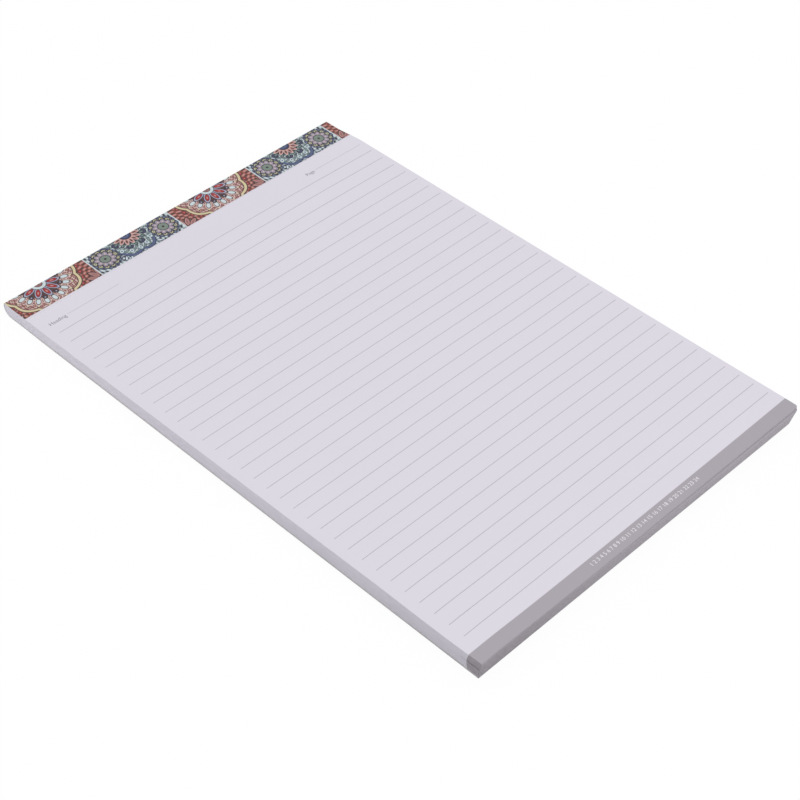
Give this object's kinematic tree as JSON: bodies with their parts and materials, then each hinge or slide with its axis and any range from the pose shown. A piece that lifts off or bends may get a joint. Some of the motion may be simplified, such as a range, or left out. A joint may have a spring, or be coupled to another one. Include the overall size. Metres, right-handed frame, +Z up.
{
  "type": "legal pad",
  "caption": "Head-bound A4 writing pad: ruled perforated sheets stapled to a backing board, with a printed paper strip folded round the head.",
  "frame": {"origin": "middle of the pad's box, on the surface that it lies on", "axes": "+X across the page to the right, +Y along the page towards the bound head, +Z up out of the top sheet"},
  "size_m": [0.21, 0.297, 0.0088],
  "materials": {
    "sheets": "matt uncoated writing paper",
    "board": "uncoated grey board",
    "strip": "printed paper with a soft sheen",
    "wire": "bright stitching wire"
  },
  "bodies": {
    "root": {"sheet_block": "sheets", "backing_board": "board", "binding_strip": "strip", "staples": "wire"}
  },
  "joints": []
}
